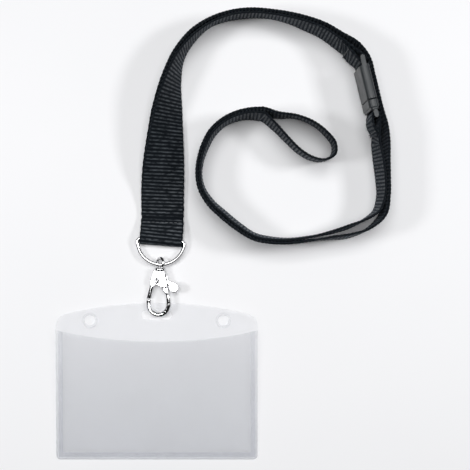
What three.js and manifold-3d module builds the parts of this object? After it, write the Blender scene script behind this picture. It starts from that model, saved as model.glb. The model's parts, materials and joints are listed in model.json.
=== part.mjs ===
// A neck lanyard for a badge: one black webbing strap doubled back through a D-ring, a breakaway buckle, a
// swivel trigger clasp and a soft clear badge holder, lying on a table. Millimetres, +Z up.
import * as THREE from "three";
import { mergeGeometries, mergeVertices } from "three/addons/utils/BufferGeometryUtils.js";
import Module from "manifold-3d";

const wasm = await Module();
wasm.setup();

// ---- Driving dimensions ----
const WEBBING = { width: 19.8, thickness: 1.2 };
const AXIS_HEIGHT = 2.7; // height above the table of the D-ring, swivel, clasp and holder strip
const FOLD_RADIUS = 2.1; // centre of the webbing round the D-ring bar
const SEAM = { height: 0.25, width: 0.4, lift: 0.2, half: 9, aboveRing: 10.4 };

const D_RING = { x: -0.4, y: 1.9, turn: -4.5, wire: 0.75, arc: 10.9, barAboveCentre: 0.4 };
const EYE = { radius: 2.3, wire: 0.65, roll: 40, y: -0.72 };
const SWIVEL = { flange: 2.7, stem: 0.9, head: 1.3, flangeTop: -3.1, headEnd: -6.8 };
const CLASP = { x: -0.75, y: -8.03, turn: -2.43, roll: 18, plate: 1.25, neck: 1.85, wireWidth: 2.0, wireHeight: 1.5 };
const PIN = { x: -0.83, y: -9.0, radius: 0.75 };
const LEVER = { half: 0.6, hub: 1.25 };
const SPRING = { radius: 0.98, wire: 0.13, z: 0.4 };
const GAP = 0.25;

const BUCKLE = { x: 90.84, y: 79.44, heading: -76.35, height: 22.4, thickness: 4.6, socket: 15.3, mouth: 15.6 };
const BAR = { radius: 0.8, socket: -3.4, plug: 22.6, overlap: 0.5 };
const ARM = { thickness: 1, half: 1.3 };
const CAVITY = { height: 17.2, thickness: 2.7, depth: 9.6 };
const FLANGE = { length: 3.5, round: 1.5, stepEnd: 4.6, stepNarrower: 0.6, stepThinner: 1, stepRound: 1.3 };
const TONGUE = { half: 1, at: 6.9, side: 1.3, middle: 3, shorter: 0.6, rootHalf: 8.2, rootLength: 1.6 };

const HOLDER = { x: -2.46, y: -28.95, tilt: 2.0, halfWidth: 46.6, bottom: -70.85, top: 1.85, sheet: 0.4 };
const POCKET = { gap: 0.8, rim: 2.5, edgeMiddle: -15.97, edgeRadius: 214 };
const SLOT = { width: 14, top: -1.85, bottom: -5.75 };
const HOLES = { x: 30.8, y: -6.2, radius: 2.45, rim: 3.55, rimHeight: 0.3 };

// ---- Strap route ----
// The two legs of the strap run side by side. Each row is a station of the line midway between them, from the
// D-ring to the neck loop: x, y, the lean of the width from upright (90 lies flat), and the legs' spacing.
const PAIR = [
  [-0.4, 1.9, 90, 4.2],
  [0, 7, 90, 2.8],
  [0.2, 13, 90, 1.4],
  [0.3, 24, 84, 1.4],
  [0.9, 36, 66, 1.4],
  [1.8, 48, 49, 1.5],
  [3, 62, 34, 1.5],
  [4.9, 75, 17, 1.6],
  [8.6, 86.5, 4, 1.8],
  [14.6, 94.8, -2, 2.1],
  [22.2, 100.6, -6, 1.8],
  [31.5, 103.8, -5, 1.5],
  [41, 104.9, -5, 1.5],
  [50, 104.4, -6, 1.5],
  [58, 102.8, -4, 1.7],
  [66, 100.2, 0, 1.8],
  [74, 96.8, 2, 2],
  [80.6, 92.5, 3, 2.5],
  [87.2, 87.7, 2, 4.2],
  [91.3, 82.1, 1, 4.6],
  [93.6, 75, 0, 4.2],
  [95.4, 67.6, 0, 4.2],
  [97.2, 60.2, 0, 4.2],
  [99.2, 52.8, 1, 4.2],
  [99.8, 45.4, 3, 4.1],
  [100.2, 38, 5, 2.7],
  [100.8, 30, 5, 1.8],
  [101, 22, 3, 1.9],
  [99.2, 14.2, 1, 3.3],
  [93.2, 9, -2, 4.4],
  [85.2, 5.8, -5, 4],
  [76.4, 4, -3, 2.4],
  [67.3, 2.5, 0, 1.6],
  [58.7, 1.5, 1, 1.5],
  [49.8, 1.9, 3, 1.5],
  [42.4, 3.5, 4, 1.5],
  [35.6, 7.7, 5, 1.6],
  [28.6, 13.3, 5, 1.8],
  [22.2, 19.4, 4, 1.6],
  [18.5, 25.6, 2, 1.5],
  [17.3, 32, 0, 1.5],
  [18.1, 38.5, 0, 1.5],
  [20.2, 44.7, 1, 1.5],
  [23, 50, 1, 1.5],
  [27.4, 54.6, 0, 1.5],
  [34, 58, 1, 1.5],
  [40.5, 59.2, 3, 1.6],
  [46, 59, 5, 2],
];
// The strap is single round the neck loop: x, y and lean.
const NECK_LOOP = [
  [53, 58.6, 1],
  [61.5, 57.9, -3],
  [69, 55, -3],
  [75, 50.2, -2],
  [78.6, 45.2, -1],
  [78.3, 40.6, 1],
  [74, 38.2, 2],
  [69, 38.8, 1],
  [63.4, 41.8, 0],
  [57.6, 47.2, -1],
  [51.4, 53.6, -3],
];
// Both strap ends pass the outer side of a buckle bar, turn round it and come back on the inner side, where
// they are sewn down. Rows are x, y, z and lean; the first of each list is where it leaves the pair's inner leg.
const SOCKET_END = { leavesPair: 17, turn: 48.6, outward: [0.66, 0.75] };
SOCKET_END.leg = [
  [83.4, 89, 10.5, 4],
  [86.8, 86.7, 11.2, 2],
];
SOCKET_END.returned = [
  [86.2, 84.6, 11.2, 2],
  [84, 86.7, 10.8, 4],
  [82.4, 88.1, 10.3, 4],
];
const PLUG_END = { joinsPair: 24, tailEnds: 27, turn: 13.65, outward: [0.972, 0.236] };
PLUG_END.leg = [
  [98.15, 55.5, 11.2, 0],
  [98, 52.6, 11.1, 0],
  [97.8, 49.4, 10.8, 1],
];
PLUG_END.returned = [
  [94.7, 54.8, 11.2, 0],
  [95.4, 52.4, 11, 0],
  [96.2, 50.2, 10.8, 1],
  [96.3, 48.6, 10.7, 1],
];

// ---- Materials ----
const material = (color, roughness, metalness, extra = {}) =>
  new THREE.MeshStandardMaterial({ color, roughness, metalness, ...extra });
const webbingBlack = material(0x15181b, 0.9, 0);
const threadBlack = material(0x0d0f11, 0.8, 0);
const buckleGrey = material(0x45494c, 0.55, 0);
const chrome = material(0xdcdde0, 0.12, 1);
const springSteel = material(0x9b9da0, 0.3, 1);
const clearSheet = material(0xdfe3ea, 0.25, 0, { transparent: true, opacity: 0.5 });

// ---- Helpers ----
const group = new THREE.Group();
const rad = THREE.MathUtils.degToRad;

function add(parent, name, geometry, look) {
  const mesh = new THREE.Mesh(geometry, look);
  mesh.name = name;
  parent.add(mesh);
  return mesh;
}

function frameAt(parent, x, y, z, turn, tiltX = 0, roll = 0) {
  const frame = new THREE.Group();
  frame.position.set(x, y, z);
  frame.rotation.set(rad(tiltX), rad(roll), rad(turn), "ZXY");
  parent.add(frame);
  return frame;
}

function solid(geometry) {
  const plain = geometry.clone();
  plain.deleteAttribute("normal");
  plain.deleteAttribute("uv");
  const merged = mergeVertices(plain, 1e-4);
  const vertProperties = Float32Array.from(merged.attributes.position.array);
  const triVerts = Uint32Array.from(merged.index.array);
  return new wasm.Manifold(new wasm.Mesh({ numProp: 3, vertProperties, triVerts }));
}

function surface(manifold) {
  const mesh = manifold.getMesh();
  const geometry = new THREE.BufferGeometry();
  geometry.setAttribute("position", new THREE.BufferAttribute(Float32Array.from(mesh.vertProperties), 3));
  geometry.setIndex(Array.from(mesh.triVerts));
  return geometry;
}

function box(x0, x1, y0, y1, z0, z1) {
  const geometry = new THREE.BoxGeometry(x1 - x0, y1 - y0, z1 - z0);
  return geometry.translate((x0 + x1) / 2, (y0 + y1) / 2, (z0 + z1) / 2);
}

// A flat plate of the outline, from z0 to z1, with its edges optionally rounded off.
function plate(outline, z0, z1, round = 0, segments = 10) {
  const geometry = new THREE.ExtrudeGeometry(outline, {
    depth: z1 - z0 - 2 * round,
    curveSegments: segments,
    bevelEnabled: round > 0,
    bevelSize: round,
    bevelThickness: round,
    bevelOffset: -round,
    bevelSegments: 2,
  });
  return geometry.translate(0, 0, z0 + round);
}

function polygon(points) {
  return new THREE.Shape(points.map(([x, y]) => new THREE.Vector2(x, y)));
}

// A bar of elliptical section, width across the plane of the path and height along Z.
function wireAlong(points, width, height, steps, sides = 10) {
  const section = new THREE.Shape();
  section.absellipse(0, 0, height / 2, width / 2, 0, 2 * Math.PI);
  const path = new THREE.CatmullRomCurve3(points.map(([x, y, z = 0]) => new THREE.Vector3(x, y, z)));
  const settings = { steps, extrudePath: path, curveSegments: sides / 2, bevelEnabled: false };
  return new THREE.ExtrudeGeometry(section, settings);
}

function cylinder(radius, y0, y1, sides = 20) {
  return new THREE.CylinderGeometry(radius, radius, y1 - y0, sides).translate(0, (y0 + y1) / 2, 0);
}

// A smooth run of rows through the given ones, each row any list of numbers that starts with x and y.
function smooth(rows, steps) {
  const out = [];
  const span = (a, b) => Math.max(Math.hypot(b[0] - a[0], b[1] - a[1]), 1e-6);
  for (let i = 0; i < rows.length - 1; i++) {
    const b = rows[i];
    const c = rows[i + 1];
    const a = rows[i - 1] ?? b.map((v, k) => 2 * v - c[k]);
    const d = rows[i + 2] ?? c.map((v, k) => 2 * v - b[k]);
    const [ab, bc, cd] = [span(a, b), span(b, c), span(c, d)];
    for (let step = 0; step < steps; step++) {
      const t = step / steps;
      const row = b.map((_, k) => {
        const m1 = (((b[k] - a[k]) / ab) * bc + ((c[k] - b[k]) / bc) * ab) * (bc / (ab + bc));
        const m2 = (((c[k] - b[k]) / bc) * cd + ((d[k] - c[k]) / cd) * bc) * (bc / (bc + cd));
        const start = (2 * t ** 3 - 3 * t ** 2 + 1) * b[k] + (t ** 3 - 2 * t ** 2 + t) * m1;
        return start + (3 * t ** 2 - 2 * t ** 3) * c[k] + (t ** 3 - t ** 2) * m2;
      });
      out.push(row);
    }
  }
  out.push(rows.at(-1));
  return out;
}

// ---- Strap ----
// A sample is a point of the webbing's centre line and the direction of its width.
const UP = new THREE.Vector3(0, 0, 1);

function leftOf(rows, i) {
  const a = rows[Math.max(i - 1, 0)];
  const b = rows[Math.min(i + 1, rows.length - 1)];
  return new THREE.Vector3(a[1] - b[1], b[0] - a[0], 0).normalize();
}

function leaning(side, lean) {
  const w = side.clone().multiplyScalar(Math.sin(rad(lean)));
  return w.addScaledVector(UP, Math.cos(rad(lean)));
}

function restHeight(lean, depth) {
  const half = WEBBING.width / 2;
  return half * Math.cos(rad(lean)) + depth * Math.abs(Math.sin(rad(lean)));
}

// Both legs of the pair: the outer one (away from the loop's inside) and the inner one.
function pairLegs(steps) {
  const rows = smooth(PAIR, steps);
  const legs = { outer: [], inner: [] };
  rows.forEach(([x, y, lean, spacing], i) => {
    const left = leftOf(rows, i);
    const w = leaning(left, lean);
    const toInner = UP.clone().multiplyScalar(Math.sin(rad(lean)));
    toInner.addScaledVector(left, -Math.cos(rad(lean)));
    const z = restHeight(lean, (spacing + WEBBING.thickness) / 2);
    const middle = new THREE.Vector3(x, y, z);
    legs.outer.push({ c: middle.clone().addScaledVector(toInner, -spacing / 2), w });
    legs.inner.push({ c: middle.clone().addScaledVector(toInner, spacing / 2), w });
  });
  return legs;
}

function singleLeg(rows, steps) {
  const fine = smooth(rows, steps);
  return fine.map(([x, y, z, lean], i) => ({ c: new THREE.Vector3(x, y, z), w: leaning(leftOf(fine, i), lean) }));
}

// Rows of a single leg that starts on or ends at a pair's leg keep its direction there.
function asRow(sample, lean) {
  return [sample.c.x, sample.c.y, sample.c.z, lean];
}

function foldRoundRing(start, samples) {
  const [x, y] = PAIR[0];
  const bar = new THREE.Vector3(x, y, AXIS_HEIGHT);
  const away = new THREE.Vector3().crossVectors(start.w, UP).normalize();
  return Array.from({ length: samples - 1 }, (_, i) => {
    const angle = (Math.PI * (i + 1)) / samples;
    const c = bar.clone().addScaledVector(away, -FOLD_RADIUS * Math.sin(angle));
    return { c: c.addScaledVector(UP, FOLD_RADIUS * Math.cos(angle)), w: start.w };
  });
}

function barCentre(along) {
  const u = rad(BUCKLE.heading);
  return [BUCKLE.x + along * Math.cos(u), BUCKLE.y + along * Math.sin(u)];
}

// The half turn round a buckle bar, from its outer side to its inner side.
function turnRoundBar(along, firstAngle, direction, samples) {
  const [x, y] = barCentre(along);
  const radius = BAR.radius + WEBBING.thickness / 2 + 0.05;
  return Array.from({ length: samples + 1 }, (_, i) => {
    const angle = rad(firstAngle) + (direction * Math.PI * i) / samples;
    const c = new THREE.Vector3(x + radius * Math.cos(angle), y + radius * Math.sin(angle), BUCKLE.height / 2);
    return { c, w: UP.clone() };
  });
}

function returnedLayer(rows, outward) {
  const side = new THREE.Vector3(outward[0], outward[1], 0);
  return rows.map(([x, y, z, lean]) => ({ c: new THREE.Vector3(x, y, z), w: leaning(side, lean) }));
}

// A flat strip bent along the samples: a box with one slice for each sample.
function webbing(samples, width = WEBBING.width, thickness = WEBBING.thickness) {
  const last = samples.length - 1;
  const geometry = new THREE.BoxGeometry(last, width, thickness, last, 1, 1);
  const frames = samples.map(({ c, w }, i) => {
    const t = samples[Math.min(i + 1, last)].c.clone().sub(samples[Math.max(i - 1, 0)].c).normalize();
    const n = new THREE.Vector3().crossVectors(t, w).normalize();
    return { c, w: new THREE.Vector3().crossVectors(n, t), n };
  });
  const position = geometry.attributes.position;
  for (let i = 0; i < position.count; i++) {
    const { c, w, n } = frames[Math.round(position.getX(i) + last / 2)];
    const p = c.clone().addScaledVector(w, position.getY(i)).addScaledVector(n, position.getZ(i));
    position.setXYZ(i, p.x, p.y, p.z);
  }
  return geometry;
}

function trimmed(samples, atStart, atEnd) {
  const out = samples.map(({ c, w }) => ({ c: c.clone(), w }));
  const pull = (end, next, by) => end.c.addScaledVector(next.c.clone().sub(end.c).normalize(), by);
  if (atStart) pull(out[0], out[1], atStart);
  if (atEnd) pull(out.at(-1), out.at(-2), atEnd);
  return out;
}

const STEPS = 2;
const legs = pairLegs(STEPS);
const innerAt = (station) => legs.inner[station * STEPS];

function socketEnd() {
  const { leavesPair, leg, returned, turn, outward } = SOCKET_END;
  const rows = [asRow(innerAt(leavesPair - 1), 2), asRow(innerAt(leavesPair), 3), ...leg];
  const bar = turnRoundBar(BAR.socket, turn, -1, 6);
  rows.push(asRow(bar[0], 0));
  const approach = singleLeg(rows, STEPS).slice(STEPS + 1, -1);
  return [...approach, ...bar, ...returnedLayer(returned, outward)];
}

function neckLoop() {
  const outer = legs.outer;
  const inner = legs.inner;
  const lean = PAIR.at(-1)[2];
  const row = (samples, back, sign) => {
    const { c } = samples[samples.length - 1 - back];
    return [c.x, c.y, sign * lean];
  };
  const rows = [row(outer, STEPS, 1), row(outer, 0, 1), ...NECK_LOOP, row(inner, 0, -1), row(inner, STEPS, -1)];
  const fine = smooth(rows, STEPS + 1).map(([x, y, l]) => [x, y, restHeight(l, WEBBING.thickness / 2), l]);
  const samples = fine.map(([x, y, z, l], i) => ({ c: new THREE.Vector3(x, y, z), w: leaning(leftOf(fine, i), l) }));
  return samples.slice(STEPS + 2, -(STEPS + 2));
}

function addStrap() {
  const toSocket = legs.inner.slice(0, SOCKET_END.leavesPair * STEPS + 1);
  const fold = foldRoundRing(legs.inner[0], 8);
  const fromLoop = legs.inner.slice(PLUG_END.tailEnds * STEPS);
  const whole = [
    ...socketEnd().reverse(),
    ...toSocket.reverse(),
    ...fold,
    ...legs.outer,
    ...neckLoop(),
    ...fromLoop.reverse(),
  ];
  add(group, "neck_strap", webbing(trimmed(whole, 0, 0.15)), webbingBlack);

  const { joinsPair, tailEnds, leg, returned, turn, outward } = PLUG_END;
  const plugRows = [...leg, asRow(innerAt(joinsPair), 3), asRow(innerAt(joinsPair + 1), 4)];
  const plugSide = singleLeg(plugRows, STEPS).slice(0, -STEPS);
  const tail = [...plugSide, ...legs.inner.slice(joinsPair * STEPS + 1, tailEnds * STEPS + 1)];
  add(group, "strap_tail", webbing(trimmed(tail, 0.25, 0.15)), webbingBlack);

  const bar = turnRoundBar(BAR.plug, turn, 1, 6);
  const start = { c: new THREE.Vector3(leg[0][0], leg[0][1], leg[0][2]), w: UP.clone() };
  const hem = [start, ...bar, ...returnedLayer(returned, outward)];
  add(group, "plug_hem", webbing(trimmed(hem, 0.25, 0)), webbingBlack);
}

// ---- Seams: each row of stitches as one flat thread, along x, y, z points ----
function addSeam(name, points, across) {
  const samples = points.map(([x, y, z]) => ({ c: new THREE.Vector3(x, y, z), w: across }));
  add(group, name, webbing(samples, SEAM.width, SEAM.height), threadBlack);
}

function addSeams() {
  const { c, w } = legs.inner.find((sample) => sample.c.y > SEAM.aboveRing);
  const half = w.clone().multiplyScalar(SEAM.half);
  const top = c.z + WEBBING.thickness / 2 + SEAM.lift + SEAM.height / 2;
  const ends = [-1, 0, 1].map((side) => [c.x + side * half.x, c.y + side * half.y, top]);
  addSeam("ring_seam", ends, new THREE.Vector3(0, 1, 0));

  const proud = WEBBING.thickness / 2 + SEAM.lift + SEAM.height / 2;
  const onHem = ({ returned, outward }, station) => {
    const { c, w } = returnedLayer(returned, outward).at(station);
    const face = c.clone().addScaledVector(new THREE.Vector3(outward[0], outward[1], 0), -proud);
    return [-SEAM.half, 0, SEAM.half].map((along) => face.clone().addScaledVector(w, along).toArray());
  };
  const across = ([x, y]) => new THREE.Vector3(-y, x, 0);
  addSeam("socket_seam", onHem(SOCKET_END, -2), across(SOCKET_END.outward));
  addSeam("plug_seam", onHem(PLUG_END, -2), across(PLUG_END.outward));
}

// ---- D-ring: a bar through the strap's fold and a round bow below it ----
function addRing() {
  const { x, y, turn, wire, arc, barAboveCentre } = D_RING;
  const ring = frameAt(group, x, y, AXIS_HEIGHT, turn);
  const corner = Math.asin(barAboveCentre / arc);
  const bow = Array.from({ length: 25 }, (_, i) => {
    const angle = Math.PI + corner * -1 + ((Math.PI + 2 * corner) * i) / 24;
    return [arc * Math.cos(angle), arc * Math.sin(angle) - barAboveCentre];
  });
  const half = arc * Math.cos(corner);
  const bar = cylinder(wire, -half, half, 12).rotateZ(Math.PI / 2);
  const knuckle = new THREE.SphereGeometry(wire * 1.02, 12, 8);
  const whole = solid(wireAlong(bow, 2 * wire, 2 * wire, 30))
    .add(solid(bar))
    .add(solid(knuckle.clone().translate(-half, 0, 0)))
    .add(solid(knuckle.clone().translate(half, 0, 0)));
  add(ring, "d_ring", surface(whole), chrome);
}

// ---- Swivel: an eye on the D-ring, a flange and a headed stem that turns in the clasp's neck ----
function addSwivel(frame) {
  const { radius, wire, roll, y } = EYE;
  const { flange, stem, head, flangeTop, headEnd } = SWIVEL;
  const eye = new THREE.TorusGeometry(radius, wire, 10, 28).rotateY(rad(roll - 90)).translate(0, y, 0);
  const profile = [
    [0, flangeTop + 0.4],
    [1.1, flangeTop + 0.3],
    [flange - 0.2, flangeTop],
    [flange, flangeTop - 0.3],
    [flange, flangeTop - 0.7],
    [flange - 0.3, flangeTop - 1],
    [stem, flangeTop - 1],
    [stem, headEnd + 0.7],
    [head, headEnd + 0.6],
    [head, headEnd + 0.1],
    [head - 0.1, headEnd],
    [0, headEnd],
  ].reverse();
  const shank = new THREE.LatheGeometry(profile.map(([r, h]) => new THREE.Vector2(r, h)), 24);
  add(frame, "swivel_eye", surface(solid(eye).add(solid(shank))), chrome);
}

// ---- Clasp: neck and slotted body, with the hook's bow below ----
const BODY = [
  [-2.6, -4.4],
  [2.6, -4.4],
  [3.2, -6.5],
  [4.1, -10],
  [4.5, -12.5],
  [4.9, -14.5],
  [2.9, -14.5],
  [2.4, -13],
  [1.5, -11.9],
  [0, -11],
  [-1.6, -10.6],
  [-4.2, -10.4],
  [-3.3, -7],
];
const LEVER_SLOT = [
  [-6, -7.6],
  [1, -7.6],
  [2.9, -5.7],
  [6, -5.7],
  [6, -10.9],
  [2, -10.9],
  [1.6, -15],
  [-6, -15],
];
const BOW = [
  [3.75, -12.5],
  [4.3, -15],
  [4.8, -17.5],
  [4.95, -20],
  [4.2, -22.2],
  [2.4, -24],
  [-0.2, -24.6],
  [-2.9, -23.7],
  [-4.6, -21.8],
  [-5.05, -19.6],
  [-4.95, -17.9],
];

function addClasp(frame) {
  const { plate: half, neck, wireWidth, wireHeight } = CLASP;
  const stemHole = cylinder(SWIVEL.stem + GAP, -6, -4, 20);
  const headRoom = cylinder(SWIVEL.head + GAP, -7.1, -5.8, 20);
  const headDoor = box(-SWIVEL.head - GAP, SWIVEL.head + GAP, -7.1, -5.8, -3, 0);
  const leverSlot = plate(polygon(LEVER_SLOT), -LEVER.half - 0.2, LEVER.half + 0.2);
  const neckBlock = plate(polygon([[-2.6, -4.4], [2.6, -4.4], [2.95, -7.3], [-2.95, -7.3]]), -neck, neck, 0.3);
  const pinHole = cylinder(PIN.radius + GAP, -3, 3, 20).rotateX(Math.PI / 2).translate(PIN.x, PIN.y, 0);
  const bow = wireAlong(BOW, wireWidth, wireHeight, 34);
  const whole = solid(plate(polygon(BODY), -half, half, 0.25))
    .add(solid(neckBlock))
    .subtract(solid(leverSlot))
    .add(solid(bow))
    .subtract(solid(stemHole))
    .subtract(solid(headRoom))
    .subtract(solid(headDoor))
    .subtract(solid(pinHole));
  add(frame, "clasp_hook", surface(whole), chrome);
}

// ---- Trigger: gate and thumb tab in one lever on a riveted pin, closed by a coil spring ----
const LEVER_OUTLINE = [
  [-2.05, -8.7],
  [-1.6, -8.05],
  [-0.83, -7.8],
  [0.1, -8.1],
  [0.9, -8.7],
  [4, -8.5],
  [7, -9.4],
  [8.9, -10.4],
  [9.75, -11.7],
  [9.6, -13],
  [8.8, -13.9],
  [7.4, -14.1],
  [5.6, -13.7],
  [5.2, -12.6],
  [4.9, -10.6],
  [4, -10.2],
  [0.4, -10],
  [-1.6, -10.6],
  [-2.7, -11.6],
  [-3.9, -17.3],
  [-5.75, -17.3],
  [-4.3, -10.9],
];

function addTrigger(frame) {
  const bore = cylinder(PIN.radius + GAP, -3, 3, 20).rotateX(Math.PI / 2).translate(PIN.x, PIN.y, 0);
  const recess = cylinder(LEVER.hub, 0.1, 3, 20).rotateX(Math.PI / 2).translate(PIN.x, PIN.y, 0);
  const lever = solid(plate(polygon(LEVER_OUTLINE), -LEVER.half, LEVER.half, 0.15));
  const moving = lever.subtract(solid(bore)).subtract(solid(recess));
  add(frame, "trigger_lever", surface(moving), chrome);

  const end = CLASP.plate + 0.05;
  const pin = cylinder(PIN.radius, -end, end, 16).rotateX(Math.PI / 2).translate(PIN.x, PIN.y, 0);
  add(frame, "trigger_pin", pin, chrome);

  const coil = new THREE.TorusGeometry(SPRING.radius, SPRING.wire, 6, 20).translate(PIN.x, PIN.y, SPRING.z);
  add(frame, "trigger_spring", coil, springSteel);
}

// ---- Buckle: stands on its long side; x runs along the strap, y up, z to the inside of the loop ----
function roundedBar(height, thickness, x0, x1, round) {
  const [h, t] = [height / 2, thickness / 2];
  const section = new THREE.Shape();
  section.moveTo(-t, -h + round);
  section.lineTo(-t, h - round);
  section.quadraticCurveTo(-t, h, -t + round, h);
  section.lineTo(t - round, h);
  section.quadraticCurveTo(t, h, t, h - round);
  section.lineTo(t, -h + round);
  section.quadraticCurveTo(t, -h, t - round, -h);
  section.lineTo(-t + round, -h);
  section.quadraticCurveTo(-t, -h, -t, -h + round);
  return plate(section, x0, x1, 0, 4).rotateY(Math.PI / 2);
}

function strapFrame(barAt, x0, x1) {
  const h = BUCKLE.height / 2;
  const arm = (y0, y1) => solid(box(x0, x1, y0, y1, -ARM.half, ARM.half));
  const bar = cylinder(BAR.radius, BAR.overlap - h, h - BAR.overlap, 14).translate(barAt, 0, 0);
  return arm(h - ARM.thickness, h)
    .add(arm(-h, ARM.thickness - h))
    .add(solid(bar));
}

function addBuckle() {
  const { x, y, heading, height, thickness, socket, mouth } = BUCKLE;
  const frame = frameAt(group, x, y, height / 2, heading, 90);
  const [high, deep] = [CAVITY.height / 2, CAVITY.thickness / 2];
  const cavity = box(socket - CAVITY.depth, socket + 1, -high, high, -deep, deep);
  const shell = solid(roundedBar(height, thickness, 0, socket, FLANGE.round)).subtract(solid(cavity));
  const socketBody = shell.add(strapFrame(BAR.socket, BAR.socket - ARM.half, BAR.overlap));
  add(frame, "buckle_socket", surface(socketBody), buckleGrey);

  const root = mouth + BAR.overlap;
  const flat = (x0, x1, at, half) => solid(box(x0, x1, at - half, at + half, -TONGUE.half, TONGUE.half));
  const tongue = (at, half) => flat(mouth - CAVITY.depth + TONGUE.shorter, root, at, half);
  const [flangeEnd, stepEnd] = [mouth + FLANGE.length, mouth + FLANGE.stepEnd];
  const [stepHeight, stepThickness] = [height - FLANGE.stepNarrower, thickness - FLANGE.stepThinner];
  const plug = flat(mouth - TONGUE.rootLength, root, 0, TONGUE.rootHalf)
    .add(tongue(-TONGUE.at, TONGUE.side))
    .add(tongue(0, TONGUE.middle))
    .add(tongue(TONGUE.at, TONGUE.side))
    .add(solid(roundedBar(height, thickness, mouth, flangeEnd, FLANGE.round)))
    .add(solid(roundedBar(stepHeight, stepThickness, flangeEnd - 0.1, stepEnd, FLANGE.stepRound)))
    .add(strapFrame(BAR.plug, stepEnd - 0.1, BAR.plug + ARM.half));
  add(frame, "buckle_plug", surface(plug), buckleGrey);
}

// ---- Badge holder: back sheet with slot and holes, front sheet sealed to it round three sides ----
function holderOutline(openTop) {
  const { halfWidth: w, bottom, top } = HOLDER;
  const outline = new THREE.Shape();
  outline.moveTo(-w + 2, bottom);
  outline.lineTo(w - 2, bottom);
  outline.quadraticCurveTo(w, bottom, w, bottom + 2);
  if (openTop) {
    const centre = POCKET.edgeMiddle + POCKET.edgeRadius;
    const swing = Math.asin(w / POCKET.edgeRadius);
    outline.absarc(0, centre, POCKET.edgeRadius, -Math.PI / 2 + swing, -Math.PI / 2 - swing, true);
  } else {
    const arch = 176;
    const swing = Math.asin((w - 5.8) / arch);
    outline.lineTo(w, top - 11.2);
    outline.quadraticCurveTo(w, top - 6, w - 5.8, top - arch * (1 - Math.cos(swing)));
    outline.absarc(0, top - arch, arch, Math.PI / 2 - swing, Math.PI / 2 + swing, false);
    outline.quadraticCurveTo(-w, top - 6, -w, top - 11.2);
  }
  outline.lineTo(-w, bottom + 2);
  outline.quadraticCurveTo(-w, bottom, -w + 2, bottom);
  return outline;
}

function slotOutline() {
  const radius = (SLOT.top - SLOT.bottom) / 2;
  const reach = SLOT.width / 2 - radius;
  const slot = new THREE.Path();
  slot.absarc(reach, SLOT.bottom + radius, radius, -Math.PI / 2, Math.PI / 2, false);
  slot.absarc(-reach, SLOT.bottom + radius, radius, Math.PI / 2, (3 * Math.PI) / 2, false);
  return slot;
}

function round(x, y, radius) {
  return new THREE.Path().absarc(x, y, radius, 0, 2 * Math.PI, false);
}

function addHolder() {
  const { x, y, tilt, halfWidth, bottom, sheet } = HOLDER;
  const frame = frameAt(group, x, y, AXIS_HEIGHT, 0, tilt);
  const outline = holderOutline(false);
  const sides = [-1, 1].map((side) => side * HOLES.x);
  outline.holes = [slotOutline(), ...sides.map((side) => round(side, HOLES.y, HOLES.radius))];
  let back = solid(plate(outline, -sheet / 2, sheet / 2, 0, 8));
  for (const side of sides) {
    const rim = new THREE.Shape().absarc(side, HOLES.y, HOLES.rim, 0, 2 * Math.PI, false);
    rim.holes = [round(side, HOLES.y, HOLES.radius)];
    back = back.add(solid(plate(rim, 0, sheet / 2 + HOLES.rimHeight, 0, 8)));
  }
  add(frame, "badge_back", surface(back), clearSheet);

  const floor = sheet / 2 + 0.05;
  const ceiling = sheet / 2 + POCKET.gap;
  const reach = halfWidth - POCKET.rim;
  const pocket = box(-reach, reach, bottom + POCKET.rim, 20, floor - 1, ceiling);
  const front = solid(plate(holderOutline(true), floor, ceiling + sheet, 0, 8)).subtract(solid(pocket));
  add(frame, "badge_front", surface(front), clearSheet);
}

// ---- Assembly ----
addStrap();
addSeams();
addRing();
const swivelFrame = frameAt(group, CLASP.x, CLASP.y, AXIS_HEIGHT, CLASP.turn);
addSwivel(swivelFrame);
const claspFrame = frameAt(group, CLASP.x, CLASP.y, AXIS_HEIGHT, CLASP.turn, 0, -CLASP.roll);
addClasp(claspFrame);
addTrigger(claspFrame);
addBuckle();
addHolder();

// The origin is under the middle of the whole, on the table.
group.updateMatrixWorld(true);
const bounds = new THREE.Box3().setFromObject(group, true);
group.position.set(-(bounds.min.x + bounds.max.x) / 2, -(bounds.min.y + bounds.max.y) / 2, -bounds.min.z);

export default group;
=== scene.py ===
"""The finished look of the badge lanyard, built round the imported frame. Metres, +Z up, degrees."""
import json
import math
import bmesh
import bpy
import numpy as np
from mathutils import Matrix, Vector, noise


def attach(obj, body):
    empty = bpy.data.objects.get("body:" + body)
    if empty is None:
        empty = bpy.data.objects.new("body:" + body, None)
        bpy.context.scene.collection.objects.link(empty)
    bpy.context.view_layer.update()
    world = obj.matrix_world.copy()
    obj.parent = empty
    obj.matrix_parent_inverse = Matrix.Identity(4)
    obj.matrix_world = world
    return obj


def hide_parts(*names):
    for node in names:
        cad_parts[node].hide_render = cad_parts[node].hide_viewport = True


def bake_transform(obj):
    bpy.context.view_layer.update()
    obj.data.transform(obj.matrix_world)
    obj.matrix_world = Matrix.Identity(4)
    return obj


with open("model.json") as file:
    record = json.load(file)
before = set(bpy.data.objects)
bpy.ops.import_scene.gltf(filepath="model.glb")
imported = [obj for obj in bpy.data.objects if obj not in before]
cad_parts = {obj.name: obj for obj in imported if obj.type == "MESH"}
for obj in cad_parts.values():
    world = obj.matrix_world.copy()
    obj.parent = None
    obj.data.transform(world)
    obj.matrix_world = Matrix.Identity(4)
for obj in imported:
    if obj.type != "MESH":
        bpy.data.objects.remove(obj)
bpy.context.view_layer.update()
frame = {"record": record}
scene = bpy.context.scene
MM = 0.001

# The part's own drawing has its zero beside the D-ring's bar. The D-ring's hinge fixes it in the frame.
RING_HINGE = Vector((-0.0004, 0.0019, 0.0027))
joints = {joint["name"]: joint for joint in frame["record"]["behaviour"]["joints"]}
SHIFT = Vector(joints["d_ring_tilt"]["pos_m"]) - RING_HINGE

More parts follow.
